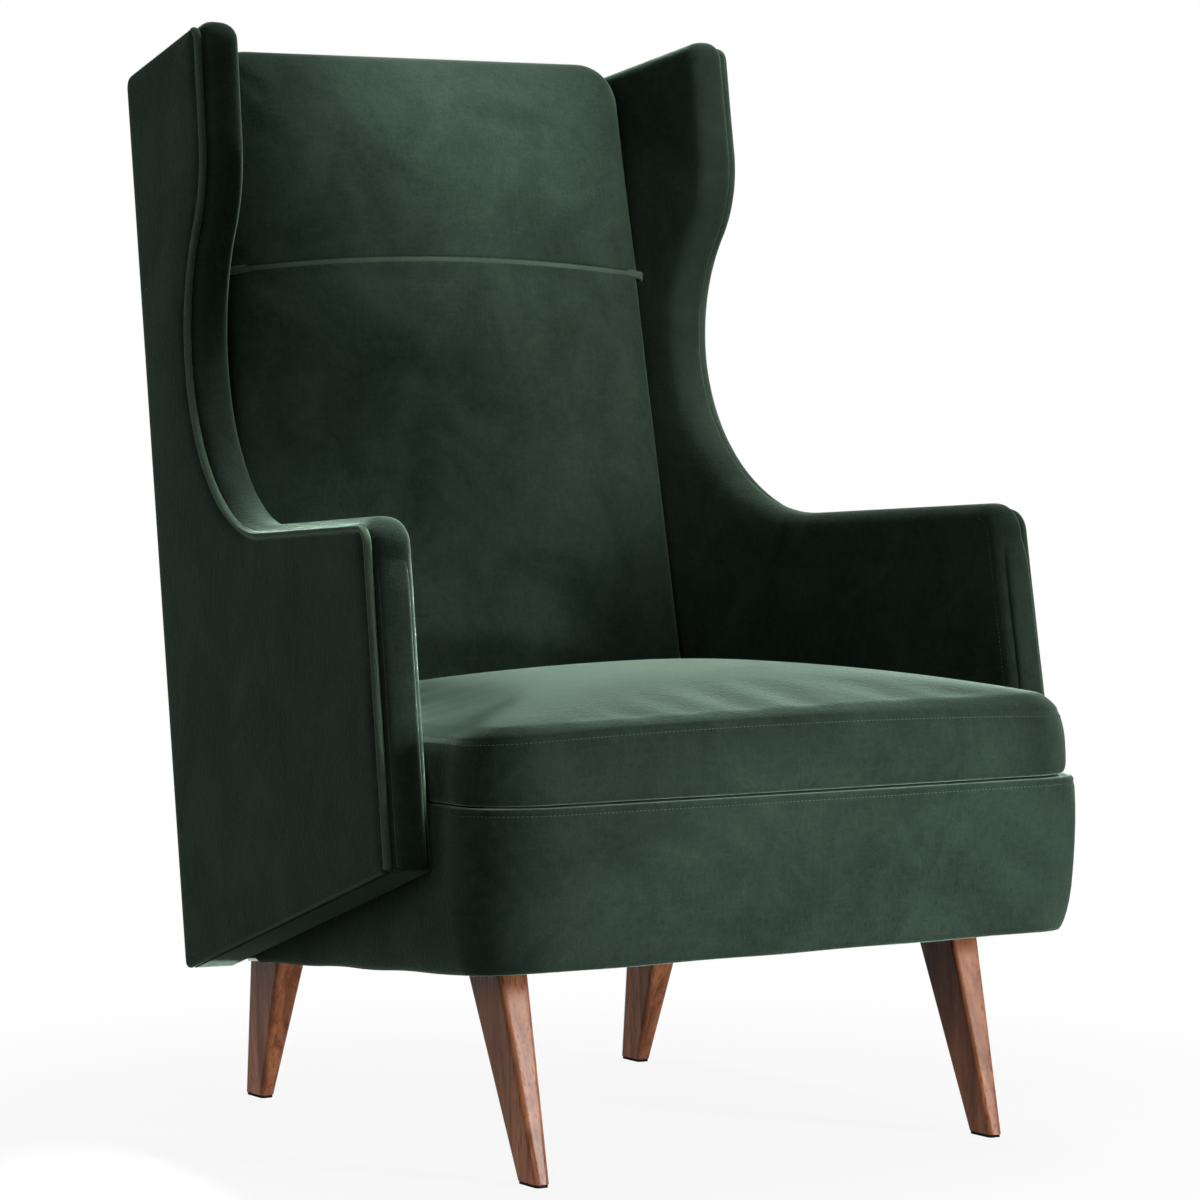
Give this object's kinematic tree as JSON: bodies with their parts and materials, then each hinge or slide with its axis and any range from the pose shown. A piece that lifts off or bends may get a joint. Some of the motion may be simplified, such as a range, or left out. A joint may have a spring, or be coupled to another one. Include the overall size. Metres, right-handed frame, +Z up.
{
  "type": "wingback chair",
  "caption": "High-backed upholstered lounge chair with winged sides, sloping arms, a loose box-edged seat cushion and tapered raked wooden legs.",
  "frame": {"origin": "on the floor, at the middle of the chair's width and depth", "axes": "+Z up, the chair faces -Y, +X is the right-hand side seen from the front"},
  "size_m": [0.792, 0.8643, 1.122],
  "materials": {
    "velvet": "dark green velvet pile",
    "leg_wood": "satin lacquered walnut",
    "frame_wood": "sawn beech",
    "plywood": "birch plywood",
    "webbing": "woven elastic straps",
    "steel": "zinc plated",
    "foam": "seat foam",
    "deck_cloth": "plain deck cloth",
    "dust_cloth": "black spun cloth",
    "glide": "dark nylon"
  },
  "bodies": {
    "chair": {"base_border": "velvet", "left_inside_panel": "velvet", "right_inside_panel": "velvet", "left_outside_panel": "velvet", "right_outside_panel": "velvet", "left_arm_facing": "velvet", "right_arm_facing": "velvet", "left_welt": "velvet", "right_welt": "velvet", "back_pad": "velvet", "headrest_pad": "velvet", "outside_back": "velvet", "front_left_leg": "leg_wood", "front_right_leg": "leg_wood", "rear_left_leg": "leg_wood", "rear_right_leg": "leg_wood", "front_rail": "frame_wood", "rear_rail": "frame_wood", "left_side_rail": "frame_wood", "right_side_rail": "frame_wood", "corner_blocks": "frame_wood", "left_back_post": "frame_wood", "right_back_post": "frame_wood", "back_top_rail": "frame_wood", "back_lower_rail": "frame_wood", "left_side_frame": "plywood", "right_side_frame": "plywood", "seat_webbing": "webbing", "back_webbing": "webbing", "side_bolts": "steel", "post_screws": "steel", "leg_plates": "steel", "hanger_bolts": "steel", "seat_deck": "deck_cloth", "dust_cover": "dust_cloth", "foot_glides": "glide"},
    "loose_cushion": {"seat_cushion": "velvet", "seat_cushion_core": "foam"}
  },
  "joints": [
    {"name": "cushion_lift", "type": "slide", "parent": "chair", "child": "loose_cushion", "axis": [0, 0, 1], "range_m": [0, 0.3]}
  ]
}
